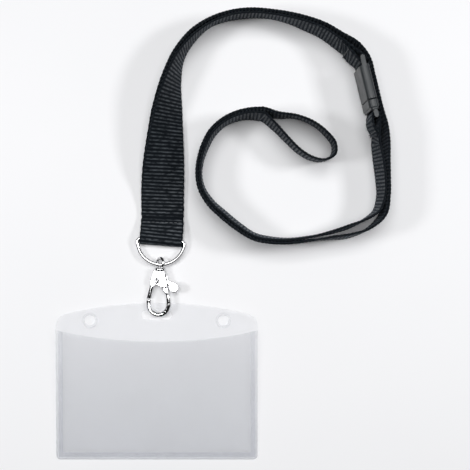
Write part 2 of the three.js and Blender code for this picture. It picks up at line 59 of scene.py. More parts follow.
WIDTH = 0.0198
THICKNESS = 0.0012
AXIS_HEIGHT = 0.0027
FOLD_RADIUS = 0.0021
BUCKLE = {
    "x": 0.09084,
    "y": 0.07944,
    "heading": -76.35,
    "height": 0.0224,
    "thickness": 0.0046,
}
SOCKET_LENGTH = 0.0153
MOUTH = 0.0156
BAR = {"radius": 0.0008, "socket": -0.0034, "plug": 0.0226, "clearance": 0.00005}

# ---- Camera: straight above, as the photograph was taken ----
CAMERA_HEIGHT = 0.45
VIEW_WIDTH = 0.2181  # of the table, seen from that height
VIEW_CENTRE = Vector((0.0337, 0.0042, 0))


def add_camera():
    data = bpy.data.cameras.new("camera")
    data.sensor_width = 36
    data.lens = data.sensor_width * CAMERA_HEIGHT / VIEW_WIDTH
    camera = bpy.data.objects.new("camera", data)
    camera.location = (VIEW_CENTRE.x + SHIFT.x, VIEW_CENTRE.y + SHIFT.y, CAMERA_HEIGHT)
    scene.collection.objects.link(camera)
    scene.camera = camera


add_camera()

# ---- Strap route ----
# The two legs of the strap run side by side. Each row is a station of the line midway between them,
# from the D-ring to the neck loop: x, y, the lean of the width from upright (90 lies flat), and the
# legs' spacing.
PAIR = [
    (-0.0004, 0.0019, 90, 0.0042),
    (0, 0.007, 90, 0.0028),
    (0.0002, 0.013, 90, 0.0014),
    (0.0003, 0.024, 84, 0.0014),
    (0.0009, 0.036, 66, 0.0014),
    (0.0018, 0.048, 49, 0.0015),
    (0.003, 0.062, 34, 0.0015),
    (0.0049, 0.075, 17, 0.0016),
    (0.0086, 0.0865, 4, 0.0018),
    (0.0146, 0.0948, -2, 0.0021),
    (0.0222, 0.1006, -6, 0.0018),
    (0.0315, 0.1038, -5, 0.0015),
    (0.041, 0.1049, -5, 0.0015),
    (0.05, 0.1044, -6, 0.0015),
    (0.058, 0.1028, -4, 0.0017),
    (0.066, 0.1002, 0, 0.0018),
    (0.074, 0.0968, 2, 0.002),
    (0.0806, 0.0925, 3, 0.0025),
    (0.0872, 0.0877, 2, 0.0042),
    (0.0913, 0.0821, 1, 0.0046),
    (0.0936, 0.075, 0, 0.0042),
    (0.0954, 0.0676, 0, 0.0042),
    (0.0972, 0.0602, 0, 0.0042),
    (0.0992, 0.0528, 1, 0.0042),
    (0.0998, 0.0454, 3, 0.0041),
    (0.1002, 0.038, 5, 0.0027),
    (0.1008, 0.03, 5, 0.0018),
    (0.101, 0.022, 3, 0.0019),
    (0.0992, 0.0142, 1, 0.0033),
    (0.0932, 0.009, -2, 0.0044),
    (0.0852, 0.0058, -5, 0.004),
    (0.0764, 0.004, -3, 0.0024),
    (0.0673, 0.0025, 0, 0.0016),
    (0.0587, 0.0015, 1, 0.0015),
    (0.0498, 0.0019, 3, 0.0015),
    (0.0424, 0.0035, 4, 0.0015),
    (0.0356, 0.0077, 5, 0.0016),
    (0.0286, 0.0133, 5, 0.0018),
    (0.0222, 0.0194, 4, 0.0016),
    (0.0185, 0.0256, 2, 0.0015),
    (0.0173, 0.032, 0, 0.0015),
    (0.0181, 0.0385, 0, 0.0015),
    (0.0202, 0.0447, 1, 0.0015),
    (0.023, 0.05, 1, 0.0015),
    (0.0274, 0.0546, 0, 0.0015),
    (0.034, 0.058, 1, 0.0015),
    (0.0405, 0.0592, 3, 0.0016),
    (0.046, 0.059, 5, 0.002),
]
# The strap is single round the neck loop: x, y and lean.
NECK_LOOP = [
    (0.053, 0.0586, 1),
    (0.0615, 0.0579, -3),
    (0.069, 0.055, -3),
    (0.075, 0.0502, -2),
    (0.0786, 0.0452, -1),
    (0.0783, 0.0406, 1),
    (0.074, 0.0382, 2),
    (0.069, 0.0388, 1),
    (0.0634, 0.0418, 0),
    (0.0576, 0.0472, -1),
    (0.0514, 0.0536, -3),
]
# Both strap ends pass the outer side of a buckle bar, turn round it and come back on the inner side.
# Rows are x, y, z and lean.
SOCKET_END = {
    "leaves_pair": 17,
    "turn": 48.6,
    "outward": (0.66, 0.75),
    "leg": [(0.0834, 0.089, 0.0105, 4), (0.0868, 0.0867, 0.0112, 2)],
    "returned": [
        (0.0862, 0.0846, 0.0112, 2),
        (0.084, 0.0867, 0.0108, 4),
        (0.0824, 0.0881, 0.0103, 4),
    ],
}
PLUG_END = {
    "joins_pair": 24,
    "tail_ends": 27,
    "turn": 13.65,
    "outward": (0.972, 0.236),
    "leg": [
        (0.09815, 0.0555, 0.0112, 0),
        (0.098, 0.0526, 0.0111, 0),
        (0.0978, 0.0494, 0.0108, 1),
    ],
    "returned": [
        (0.0947, 0.0548, 0.0112, 0),
        (0.0954, 0.0524, 0.011, 0),
        (0.0962, 0.0502, 0.0108, 1),
        (0.0963, 0.0486, 0.0107, 1),
    ],
}
STEPS = 16  # samples between two stations
TURN_STEPS = 24  # samples round a bar
RING_SEAM = 24  # the sample with the stitches above the D-ring
RING_PINCH = 30  # the sample where they draw the webbing in most
UP = np.array((0.0, 0.0, 1.0))


def smooth(rows, steps):
    """A smooth run of rows through the given ones, each row starting with x and y."""
    rows = [np.array(row, float) for row in rows]
    out = []
    for i in range(len(rows) - 1):
        b, c = rows[i], rows[i + 1]
        a = rows[i - 1] if i else 2 * b - c
        d = rows[i + 2] if i + 2 < len(rows) else 2 * c - b
        ab, bc, cd = (max(math.dist(p[:2], q[:2]), 1e-9) for p, q in ((a, b), (b, c), (c, d)))
        m1 = ((b - a) / ab * bc + (c - b) / bc * ab) * bc / (ab + bc)
        m2 = ((c - b) / bc * cd + (d - c) / cd * bc) * bc / (bc + cd)
        for step in range(steps):
            t = step / steps
            start = (2 * t**3 - 3 * t**2 + 1) * b + (t**3 - 2 * t**2 + t) * m1
            out.append(start + (3 * t**2 - 2 * t**3) * c + (t**3 - t**2) * m2)
    out.append(rows[-1])
    return out


def left_of(rows, i):
    a, b = rows[max(i - 1, 0)], rows[min(i + 1, len(rows) - 1)]
    left = np.array((a[1] - b[1], b[0] - a[0], 0.0))
    return left / np.linalg.norm(left)


def leaning(side, lean):
    return side * math.sin(math.radians(lean)) + UP * math.cos(math.radians(lean))


def rest_height(lean, depth):
    return WIDTH / 2 * math.cos(math.radians(lean)) + depth * abs(math.sin(math.radians(lean)))


def pair_legs():
    """Both legs as lists of (centre, direction of the width), the outer and the inner."""
    rows = smooth(PAIR, STEPS)
    outer, inner = [], []
    for i, (x, y, lean, spacing) in enumerate(rows):
        left = left_of(rows, i)
        w = leaning(left, lean)
        to_inner = UP * math.sin(math.radians(lean)) - left * math.cos(math.radians(lean))
        middle = np.array((x, y, rest_height(lean, (spacing + THICKNESS) / 2)))
        outer.append((middle - to_inner * spacing / 2, w))
        inner.append((middle + to_inner * spacing / 2, w))
    return outer, inner


def single_leg(rows):
    fine = smooth(rows, STEPS)
    return [(row[:3], leaning(left_of(fine, i), row[3])) for i, row in enumerate(fine)]


def as_row(sample, lean):
    return (*sample[0], lean)


def fold_round_ring(start):
    x, y = PAIR[0][:2]
    bar = np.array((x, y, AXIS_HEIGHT))
    away = np.cross(start[1], UP)
    away = away / np.linalg.norm(away)
    out = []
    for i in range(1, TURN_STEPS):
        angle = math.pi * i / TURN_STEPS
        reach = UP * math.cos(angle) - away * math.sin(angle)
        out.append((bar + FOLD_RADIUS * reach, start[1]))
    return out


def turn_round_bar(along, first_angle, direction):
    heading = math.radians(BUCKLE["heading"])
    x = BUCKLE["x"] + along * math.cos(heading)
    y = BUCKLE["y"] + along * math.sin(heading)
    radius = BAR["radius"] + THICKNESS / 2 + BAR["clearance"]
    out = []
    for i in range(TURN_STEPS + 1):
        angle = math.radians(first_angle) + direction * math.pi * i / TURN_STEPS
        centre = (x + radius * math.cos(angle), y + radius * math.sin(angle), BUCKLE["height"] / 2)
        out.append((np.array(centre), UP))
    return out


def returned_layer(rows, outward):
    fine = smooth(rows, STEPS // 2)
    side = np.array((*outward, 0.0))
    return [(row[:3], leaning(side, row[3])) for row in fine]


outer_leg, inner_leg = pair_legs()


def inner_at(station):
    return inner_leg[station * STEPS]


def socket_end():
    leaves = SOCKET_END["leaves_pair"]
    bar = turn_round_bar(BAR["socket"], SOCKET_END["turn"], -1)
    rows = [as_row(inner_at(leaves - 1), 2), as_row(inner_at(leaves), 3)]
    rows += [*SOCKET_END["leg"], as_row(bar[0], 0)]
    approach = single_leg(rows)[STEPS + 1 : -1]
    return [*approach, *bar, *returned_layer(SOCKET_END["returned"], SOCKET_END["outward"])]


def neck_loop():
    lean = PAIR[-1][2]

    def row(samples, back, sign):
        return (*samples[len(samples) - 1 - back][0][:2], sign * lean)

    rows = [row(outer_leg, STEPS, 1), row(outer_leg, 0, 1), *NECK_LOOP]
    rows += [row(inner_leg, 0, -1), row(inner_leg, STEPS, -1)]
    fine = smooth(rows, STEPS)
    out = []
    for i, (x, y, lean_here) in enumerate(fine):
        centre = np.array((x, y, rest_height(lean_here, THICKNESS / 2)))
        out.append((centre, leaning(left_of(fine, i), lean_here)))
    return out[STEPS + 1 : -(STEPS + 1)]


def neck_strap_route():
    to_socket = inner_leg[: SOCKET_END["leaves_pair"] * STEPS + 1]
    from_loop = inner_leg[PLUG_END["tail_ends"] * STEPS :]
    before_ring = [*socket_end()[::-1], *to_socket[::-1]]
    fold = fold_round_ring(inner_leg[0])
    return [*before_ring, *fold, *outer_leg, *neck_loop(), *from_loop[::-1]]


def tail_route():
    joins, ends = PLUG_END["joins_pair"], PLUG_END["tail_ends"]
    rows = [*PLUG_END["leg"], as_row(inner_at(joins), 3), as_row(inner_at(joins + 1), 4)]
    return [*single_leg(rows)[:-STEPS], *inner_leg[joins * STEPS + 1 : ends * STEPS + 1]]


def hem_route():
    start = (np.array(PLUG_END["leg"][0][:3]), UP)
    bar = turn_round_bar(BAR["plug"], PLUG_END["turn"], 1)
    return [start, *bar, *returned_layer(PLUG_END["returned"], PLUG_END["outward"])]


# ---- Mesh tools ----
def make_object(name, vertices, faces, smooth_shading=True):
    mesh = bpy.data.meshes.new(name)
    mesh.from_pydata(vertices, [], faces)
    mesh.validate()
    made = bpy.data.objects.new(name, mesh)
    scene.collection.objects.link(made)
    if smooth_shading:
        mesh.shade_smooth()
    return made


def apply_modifiers(made):
    graph = bpy.context.evaluated_depsgraph_get()
    mesh = bpy.data.meshes.new_from_object(made.evaluated_get(graph))
    made.modifiers.clear()
    made.data = mesh


def frame_at(x, y, z, turn, tilt=0, roll=0):
    """The matrix of a local frame of the drawing: roll about Y, tilt about X, then turn about Z."""
    turned = Matrix.Rotation(math.radians(turn), 4, "Z") @ Matrix.Rotation(math.radians(tilt), 4, "X")
    turned = turned @ Matrix.Rotation(math.radians(roll), 4, "Y")
    return Matrix.Translation(SHIFT + Vector((x, y, z))) @ turned


def joined(*shapes):
    """Several (vertices, faces) shapes as one."""
    vertices, faces = [], []
    for more_vertices, more_faces in shapes:
        start = len(vertices)
        vertices += [tuple(v) for v in more_vertices]
        faces += [tuple(start + i for i in face) for face in more_faces]
    return vertices, faces


def moved(shape, matrix):
    return [matrix @ Vector(v) for v in shape[0]], shape[1]


def prism(outline, z0, z1):
    """A closed solid of an anticlockwise outline, given in millimetres, between two heights."""
    n = len(outline)
    vertices = [(x * MM, y * MM, z * MM) for z in (z0, z1) for x, y in outline]
    sides = [(i, (i + 1) % n, n + (i + 1) % n, n + i) for i in range(n)]
    return vertices, [tuple(range(n))[::-1], tuple(range(n, 2 * n)), *sides]


def block(x0, x1, y0, y1, z0, z1):
    return prism([(x0, y0), (x1, y0), (x1, y1), (x0, y1)], z0, z1)


def rings_to_faces(rings, sides, closed):
    faces = []
    for i in range(rings if closed else rings - 1):
        for k in range(sides):
            a, b = i * sides + k, i * sides + (k + 1) % sides
            c, d = ((i + 1) % rings) * sides + (k + 1) % sides, ((i + 1) % rings) * sides + k
            faces.append((a, b, c, d))
    if not closed:
        faces.append(tuple(range(sides))[::-1])
        faces.append(tuple(range((rings - 1) * sides, rings * sides)))
    return faces


def tube(points, width, height, sides=24, closed=False):
    """A bar of elliptical section along points in millimetres, its width in the path's plane and its
    height along Z. Both may be one number or one for each point."""
    path = [Vector(p if len(p) == 3 else (*p, 0)) for p in points]
    count = len(path)
    widths, heights = np.broadcast_to(width, count), np.broadcast_to(height, count)
    vertices = []
    for i, p in enumerate(path):
        after = path[(i + 1) % count] if closed or i < count - 1 else p
        before = path[i - 1] if closed or i else p
        along = (after - before).normalized()
        across = along.cross(Vector((0, 0, 1))).normalized()
        upright = across.cross(along)
        for k in range(sides):
            angle = 2 * math.pi * k / sides
            offset = across * (widths[i] / 2 * math.cos(angle))
            offset += upright * (heights[i] / 2 * math.sin(angle))
            vertices.append((p + offset) * MM)
    return vertices, rings_to_faces(count, sides, closed)


def lathe(profile, sides=48):
    """A solid of revolution about Y, from (radius, height) points in millimetres. The profile starts
    and ends at the axis, where the radius is kept just above zero."""
    vertices = []
    for radius, height in profile:
        reach = max(radius, 0.001)
        for k in range(sides):
            angle = 2 * math.pi * k / sides
            around = (reach * math.cos(angle), height, -reach * math.sin(angle))
            vertices.append(Vector(around) * MM)
    return vertices, rings_to_faces(len(profile), sides, False)


def pin_along_z(radius, z0, z1, x, y):
    angles = np.linspace(0, 2 * math.pi, 40, False)
    return prism([(x + radius * math.cos(a), y + radius * math.sin(a)) for a in angles], z0, z1)


def fused(name, parts, matrix, voxel, rounds, cuts=()):
    """The parts as one rounded casting: joined by a fine remesh, cut, and smoothed over."""
    made = make_object(name, *joined(*parts), smooth_shading=False)
    cutters = []
    for i, cut in enumerate(cuts):
        cutters.append(make_object(f"{name}_cutter_{i}", *cut, smooth_shading=False))
    passes = [("REMESH", None), *[("BOOLEAN", cutter) for cutter in cutters]]
    if cutters:
        passes.append(("REMESH", None))
    for kind, cutter in passes:
        modifier = made.modifiers.new(kind.lower(), kind)
        if cutter:
            modifier.operation = "DIFFERENCE"
            modifier.solver = "EXACT"
            modifier.object = cutter
        else:
            modifier.mode = "VOXEL"
            modifier.voxel_size = voxel * MM
    rounding = made.modifiers.new("smooth", "SMOOTH")
    rounding.factor = 0.5
    rounding.iterations = rounds
    apply_modifiers(made)
    for cutter in cutters:
        bpy.data.objects.remove(cutter)
    made.data.transform(matrix)
    made.data.shade_smooth()
    return made


# ---- Materials ----
class Look:
    """A node material, with short calls to add nodes to it."""

    def __init__(self, name, **values):
        self.material = bpy.data.materials.new(name)
        self.material.use_nodes = True
        self.nodes = self.material.node_tree.nodes
        self.links = self.material.node_tree.links
        self.shader = self.nodes["Principled BSDF"]
        for key, value in values.items():
            self.shader.inputs[key.replace("_", " ")].default_value = value

    def add(self, kind, inputs=(), **settings):
        made = self.nodes.new("ShaderNode" + kind)
        for key, value in settings.items():
            setattr(made, key, value)
        for key, value in dict(inputs).items():
            if isinstance(value, bpy.types.NodeSocket):
                self.links.new(value, made.inputs[key])
            else:
                made.inputs[key].default_value = value
        return made

    def maths(self, operation, a, b=0.0):
        return self.add("Math", {0: a, 1: b}, operation=operation).outputs[0]

    def mix(self, factor, a, b):
        """A blend of two colours."""
        made = self.add("Mix", {"Factor": factor}, data_type="RGBA")
        made.inputs[6].default_value = (*a, 1)
        made.inputs[7].default_value = (*b, 1)
        return made.outputs[2]

    def spread(self, value, low, high, to_low=0.0, to_high=1.0):
        """The value mapped from low..high to to_low..to_high, and held at both ends."""
        ends = {"From Min": low, "From Max": high, "To Min": to_low, "To Max": to_high}
        return self.add("MapRange", {"Value": value, **ends}).outputs[0]

    def noise(self, vector, scale, detail=3.0, roughness=0.5):
        inputs = {"Vector": vector, "Scale": scale, "Detail": detail, "Roughness": roughness}
        return self.add("TexNoise", inputs).outputs["Fac"]

    def scaled(self, vector, scale):
        return self.add("VectorMath", {0: vector, 1: scale}, operation="MULTIPLY").outputs[0]

    def place(self):
        return self.add("TexCoord").outputs["Object"]

    def bump(self, height, distance, strength, normal=None):
        inputs = {"Height": height, "Distance": distance, "Strength": strength}
        if normal:
            inputs["Normal"] = normal
        return self.add("Bump", inputs).outputs["Normal"]

    def to(self, name, socket):
        self.links.new(socket, self.shader.inputs[name])


YARN_PITCH = 0.48 * MM


def webbing_look():
    look = Look("webbing", Roughness=0.6, Sheen_Weight=0.08, Sheen_Roughness=0.4)
    look.shader.inputs["Sheen Tint"].default_value = (0.62, 0.74, 0.9, 1)
    weave = look.add("Attribute", attribute_name="weave").outputs["Vector"]
    rib = look.add("Attribute", attribute_name="rib").outputs["Fac"]
    streaks = look.noise(look.scaled(weave, (900.0, 330.0, 1.0)), 1.0, 4.0, 0.6)
    patches = look.noise(look.scaled(weave, (60.0, 60.0, 1.0)), 1.0, 2.0)
    across = look.add("SeparateXYZ", {0: weave}).outputs[1]
    yarn = look.maths("SINE", look.maths("MULTIPLY", across, 2 * math.pi / YARN_PITCH))
    # Painted highlight: the rib tops are painted lighter as sheen, broken into streaks and patches and
    # faded at the selvedge; the valleys keep the near-black.
    lit = look.maths("POWER", rib, 3.0)
    lit = look.maths("MULTIPLY", lit, look.spread(streaks, 0.38, 0.64, 0.1, 1.7))
    lit = look.maths("MULTIPLY", lit, look.spread(patches, 0.3, 0.7, 0.7, 1.2))
    selvedge = look.spread(look.maths("ABSOLUTE", across), 9.05 * MM, 9.6 * MM)
    lit = look.maths("MULTIPLY", lit, look.spread(selvedge, 0.0, 1.0, 1.0, 0.25))
    # Base colour: near-black webbing with the painted rib-top highlight mixed in.
    color = look.mix(lit, (0.0064, 0.0082, 0.0105), (0.043, 0.052, 0.061))
    look.to("Specular IOR Level", look.maths("MULTIPLY", lit, 0.4))
    look.to("Base Color", color)
    fine = look.bump(look.maths("MULTIPLY", yarn, rib), 0.05 * MM, 0.5)
    look.to("Normal", look.bump(streaks, 0.08 * MM, 0.6, fine))
    return look.material


def thread_look():
    look = Look("thread", Roughness=0.5, Sheen_Weight=0.2)
    place = look.place()
    strands_and_glints = look.noise(look.scaled(place, (2600.0, 2600.0, 2600.0)), 1.0, 1.0)
    # Painted glints: light flecks on the black thread; the same noise also bumps its strands.
    look.to("Base Color", look.mix(strands_and_glints, (0.02, 0.023, 0.026), (0.11, 0.12, 0.13)))
    look.to("Normal", look.bump(strands_and_glints, 0.05 * MM, 0.6))
    return look.material


def chrome_look():
    look = Look("bright_metal", Metallic=1.0)
    place = look.place()
    wear = look.noise(place, 700.0, 4.0)
    scratches = look.noise(look.scaled(place, (300.0, 2500.0, 1200.0)), 1.0, 2.0)
    look.to("Base Color", look.mix(look.spread(wear, 0.35, 0.7), (0.6, 0.6, 0.61), (0.76, 0.76, 0.76)))
    look.to("Roughness", look.spread(scratches, 0.35, 0.75, 0.05, 0.14))
    look.to("Normal", look.bump(wear, 0.02 * MM, 0.25))
    return look.material


def steel_look():
    look = Look("spring_steel", Metallic=1.0)
    drawn = look.noise(look.scaled(look.place(), (900.0, 900.0, 4000.0)), 1.0)
    look.to("Base Color", look.mix(drawn, (0.32, 0.32, 0.33), (0.56, 0.56, 0.57)))
    look.to("Roughness", look.spread(drawn, 0.3, 0.7, 0.22, 0.4))
    return look.material


def buckle_look():
    look = Look("buckle_plastic", Specular_IOR_Level=0.35)
    place = look.place()
    grain = look.noise(place, 2600.0, 2.0)
    clouds = look.noise(place, 160.0, 2.0)
    cloudy = look.spread(clouds, 0.3, 0.7)
    look.to("Base Color", look.mix(cloudy, (0.022, 0.026, 0.029), (0.031, 0.036, 0.039)))
    look.to("Roughness", look.spread(clouds, 0.3, 0.7, 0.34, 0.46))
    look.to("Normal", look.bump(grain, 0.03 * MM, 0.35))
    return look.material


def clear_look(name, alpha, weld_alpha, color):
    """Clear soft sheet, with painted shade that makes it denser towards the holder's lower edge, and
    denser along the welds.
    """
    look = Look(name, Roughness=0.22, IOR=1.5)
    place = look.place()
    along = look.add("SeparateXYZ", {0: place}).outputs[1]
    # Painted shade: the alpha rises towards the holder's lower edge, so the sheet darkens there.
    depth = look.spread(along, -0.1035, -0.045, 1.3, 0.8)
    waves = look.noise(place, 45.0, 2.0)
    specks = look.noise(place, 1500.0, 1.0)
    weld = look.add("Attribute", attribute_name="weld").outputs["Fac"]
    darker = tuple(0.93 * c for c in color)
    look.to("Base Color", look.mix(look.spread(waves, 0.3, 0.7), darker, color))
    speckled = look.spread(specks, 0.72, 0.8, 0.0, 0.12)
    alpha_with_painted_shade = look.maths("MULTIPLY", look.spread(weld, 0.0, 1.0, alpha, weld_alpha), depth)
    look.to("Alpha", look.maths("ADD", alpha_with_painted_shade, speckled))
    look.to("Normal", look.bump(waves, 0.4 * MM, 0.5))
    return look.material


WEBBING = webbing_look()
THREAD = thread_look()
CHROME = chrome_look()
STEEL = steel_look()
PLASTIC = buckle_look()
CLEAR_BACK = clear_look("clear_back", 0.105, 0.2, (0.74, 0.76, 0.815))
CLEAR_FRONT = clear_look("clear_front", 0.1, 0.21, (0.68, 0.705, 0.77))


def finish_piece(made, look, body, slot_name, *nodes):
    made.data.materials.clear()
    made.data.materials.append(look)
    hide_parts(*nodes)
    if body:
        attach(made, body)
    return made


# ---- Webbing ----
RIB_PITCH = 0.00165
RIB_DEPTH = 0.00015
BEAD_HEIGHT = 0.05 * MM  # of the thicker selvedge
SCALLOP = 0.2 * MM  # how far the selvedge dips between ribs, and a seam draws it in
PINCH = {"depth": 0.2 * MM, "length": 0.9 * MM}
PRESSED_LENGTH = 0.005
SAMPLE = RIB_PITCH / 6
DIRECTION_REACH = 3  # samples each way that the strap's direction is taken over
HALF_SECTION = (0.0, 0.3, 0.58, 0.8, 0.9, 0.955, 0.985, 1.0)
STITCH = {"count": 9, "length": 0.78, "thick": 0.34 * MM, "dip": 0.22 * MM}


def even_samples(route, start):
    """The route at even steps: distances from start, centres, width directions and normals."""
    centres = np.array([c for c, _ in route])
    widths = np.array([w for _, w in route])
    lengths = np.concatenate([[0], np.cumsum(np.linalg.norm(np.diff(centres, axis=0), axis=1))])
    count = max(int(round(lengths[-1] / SAMPLE)), 8)
    at = np.linspace(0, lengths[-1], count + 1)
    c = np.stack([np.interp(at, lengths, centres[:, k]) for k in range(3)], axis=1)
    w = np.stack([np.interp(at, lengths, widths[:, k]) for k in range(3)], axis=1)
    before = c[np.maximum(np.arange(count + 1) - DIRECTION_REACH, 0)]
    after = c[np.minimum(np.arange(count + 1) + DIRECTION_REACH, count)]
    t = after - before
    t /= np.linalg.norm(t, axis=1)[:, None]
    n = np.cross(t, w)
    n /= np.linalg.norm(n, axis=1)[:, None]
    return at + start, c, np.cross(n, t), n


def webbing(name, route, start=0.0, pinches=(), free_end=None):
    """The ribbed strap along a route. Pinches are the distances where a seam draws it in. Its free end,
    given as a distance and the direction of the leg it is sewn to, is pressed thin."""
    s, c, w, n = even_samples(route, start)
    press = np.ones_like(s)
    if free_end:
        press = np.clip(np.abs(s - free_end[0]) / PRESSED_LENGTH, 0, 1)
        press = 0.5 + 0.5 * press * press * (3 - 2 * press)
        c = c + np.array((*free_end[1], 0.0)) * ((1 - press) * THICKNESS / 2)[:, None]
    half = [*[-u for u in HALF_SECTION[:0:-1]], *HALF_SECTION]
    ring = [(u, 1) for u in half] + [(u, -1) for u in half[-2:0:-1]]
    pinch = np.zeros_like(s)
    for where in pinches:
        pinch += np.exp(-(((s - where) / PINCH["length"]) ** 2))
    vertices, ribs, coordinates = [], [], []
    for u, side in ring:
        across = u * WIDTH / 2
        drift = 0.1 * np.sin(s * 61) + 0.07 * np.sin(s * 173 + 1.3)
        phase = s / RIB_PITCH + across * 14 + drift + (0.5 if side < 0 else 0)
        rib = (0.5 + 0.5 * np.cos(2 * math.pi * phase)) ** 0.8
        body = math.sqrt(max(1 - abs(u) ** 40, 0))
        bead = BEAD_HEIGHT * math.exp(-(((abs(u) - 0.93) / 0.03) ** 2))
        depth = THICKNESS / 2 * body + bead
        depth = depth - RIB_DEPTH * body * (1 - rib) - PINCH["depth"] * pinch * body
        wave = 0.5 - 0.5 * np.cos(math.pi * phase)
        scallop = SCALLOP * wave * (abs(u) > 0.9) + SCALLOP * pinch * abs(u)
        inward = np.sign(u) * scallop
        vertices.append(c + w * (across - inward)[:, None] + n * (side * depth * press)[:, None])
        ribs.append(rib * (1 - 0.6 * np.minimum(pinch, 1)))
        coordinates.append(np.stack([s, across + 0 * s, side + 0 * s], axis=1))
    count, sides, last = len(s), len(ring), len(half) - 2
    flat = np.stack(vertices, axis=1).reshape(-1, 3) + np.array(SHIFT)
    faces = rings_to_faces(count, sides, False)[:-2]
    end = [(0, 1, sides - 1)]
    end += [(k, k + 1, sides - k - 1, sides - k) for k in range(1, last)]
    end.append((last, last + 1, sides - last))
    faces += end
    faces += [tuple((count - 1) * sides + i for i in face[::-1]) for face in end]
    made = make_object(name, flat.tolist(), faces)
    rib_layer = made.data.attributes.new("rib", "FLOAT", "POINT")
    rib_layer.data.foreach_set("value", np.stack(ribs, axis=1).ravel().astype(np.float32))
    weave_layer = made.data.attributes.new("weave", "FLOAT_VECTOR", "POINT")
    weave_layer.data.foreach_set("vector", np.stack(coordinates, axis=1).ravel().astype(np.float32))
    return made, s[-1]


def distance_to(route, point):
    """How far along a route its sample nearest to a point lies."""
    centres = np.array([c for c, _ in route])
    lengths = np.concatenate([[0], np.cumsum(np.linalg.norm(np.diff(centres, axis=0), axis=1))])
    return float(lengths[int(np.argmin(np.linalg.norm(centres - point, axis=1)))])


def stitches(name, centre, along, outward, span):
    """A row of sewn stitches on the webbing's face: short rounded threads that dip at both ends."""
    along = Vector(along).normalized()
    outward = Vector(outward).normalized()
    across = along.cross(outward)
    pitch = span / STITCH["count"]
    length = STITCH["length"] * pitch
    stations, sides = 9, 8
    shapes = []
    for i in range(STITCH["count"]):
        middle = Vector(centre) + SHIFT + along * ((i + 0.5) * pitch - span / 2)
        vertices = []
        for a in range(stations):
            t = a / (stations - 1)
            swell = math.sqrt(max(1 - (2 * t - 1) ** 2, 0.01))
            axis = middle + along * (t - 0.5) * length + outward * (swell - 1) * STITCH["dip"]
            for k in range(sides):
                angle = 2 * math.pi * k / sides
                arm = across * math.cos(angle) + outward * math.sin(angle)
                vertices.append(axis + arm * (STITCH["thick"] / 2 * (0.55 + 0.45 * swell)))
        shapes.append((vertices, rings_to_faces(stations, sides, False)))
    return make_object(name, *joined(*shapes))


def add_strap():
    route = neck_strap_route()
    ring_seam = [leg[RING_PINCH][0] for leg in (inner_leg, outer_leg)]
    socket_row = returned_layer(SOCKET_END["returned"], SOCKET_END["outward"])[STEPS // 2]
    pinches = [distance_to(route, p) for p in (*ring_seam, socket_row[0])]
    free_end = (0.0, SOCKET_END["outward"])
    strap, length = webbing("strap_webbing", route, 0.0, pinches, free_end)
    finish_piece(strap, WEBBING, "strap", "webbing", "neck_strap")
    tail_points = tail_route()[::-1]
    tail, tail_end = webbing("strap_tail_webbing", tail_points, length)
    finish_piece(tail, WEBBING, None, "webbing", "strap_tail")
    hem_points = hem_route()
    plug_row = returned_layer(PLUG_END["returned"], PLUG_END["outward"])[STEPS]
    hem_pinch = tail_end + distance_to(hem_points, plug_row[0])
    free_end = (tail_end + distance_to(hem_points, hem_points[-1][0]), PLUG_END["outward"])
    hem, hem_end = webbing("plug_hem_webbing", hem_points, tail_end, [hem_pinch], free_end)
    finish_piece(hem, WEBBING, "plug", "webbing", "plug_hem")

    centre, across = inner_leg[RING_SEAM]
    proud = THICKNESS / 2 - 0.02 * MM
    ring_row = stitches("ring_stitches", centre + UP * proud, across, UP, 18.6 * MM)
    finish_piece(ring_row, THREAD, "strap", "thread", "ring_seam")
    ends = ((socket_row, SOCKET_END, "socket", "strap"), (plug_row, PLUG_END, "plug", "plug"))
    for (centre, across), end, word, body in ends:
        inward = -np.array((*end["outward"], 0.0))
        row = stitches(f"{word}_stitches", centre + inward * proud, across, inward, 18.4 * MM)
        finish_piece(row, THREAD, body, "thread", f"{word}_seam")
    end = Vector(tail_points[-1][0]) + SHIFT
    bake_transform(tail)


# ---- Metal ----
D_RING = {"turn": -4.5, "wire": 0.8, "arc": 10.9, "bar_above_centre": 0.4, "corner": 1.5}
CLASP_AT = (-0.00075, -0.00803)
CLASP_TURN = -2.43
CLASP_ROLL = -18
EYE = {"radius": 2.3, "wire": 0.66, "roll": 40, "y": -0.72}
# In millimetres, half thicknesses of the clasp's body, its raised face and the lever, and the height of
# the crease's floor.
CLASP = {"body": 1.27, "face": 1.45, "lever": 0.62, "crease": 1.12}
# The hook's wire is narrower and higher where it leaves the body.
BOW = {"below": (13.5, 19), "width": (1.7, 2.1), "height": (2.45, 1.5)}
PIN = (-0.83, -9.0)
PIN_RADIUS = 0.75
PIN_END = 1.5
GAP_ROUND_PIN = {"clasp": 0.5, "lever": 0.25}
COIL = {"radius": 0.98, "wire": 0.24, "rise": 0.28, "start": 0.25, "turns": 2}
THROUGH = 3  # half the length of a cut that passes right through the clasp


def arc_points(centre, radius, first, last, count):
    angles = [math.radians(first + (last - first) * i / (count - 1)) for i in range(count)]
    return [(centre[0] + radius * math.cos(a), centre[1] + radius * math.sin(a)) for a in angles]


def curve_through(points, steps=6):
    return [tuple(row) for row in smooth(points, steps)]


def add_ring():
    """Bar along local X, a round bow below it, and small bends where they meet."""
    arc, drop, bend = D_RING["arc"], D_RING["bar_above_centre"], D_RING["corner"]
    reach = math.sqrt((arc - bend) ** 2 - (drop - bend) ** 2)
    swing = math.degrees(math.atan2(drop - bend, reach))
    right = arc_points((reach, -bend), bend, swing, 90, 12)
    bar = [(x, 0) for x in np.linspace(reach, -reach, 40)[1:-1]]
    left = arc_points((-reach, -bend), bend, 90, 180 - swing, 12)
    bow = arc_points((0, -drop), arc, 180 - swing, 360 + swing, 120)[1:-1]
    wire = D_RING["wire"] * 2
    ring = make_object("d_ring_wire", *tube([*right, *bar, *left, *bow], wire, wire, 28, closed=True))
    ring.data.transform(frame_at(RING_HINGE.x, RING_HINGE.y, AXIS_HEIGHT, D_RING["turn"]))
    finish_piece(ring, CHROME, "d_ring", "bright_metal", "d_ring")


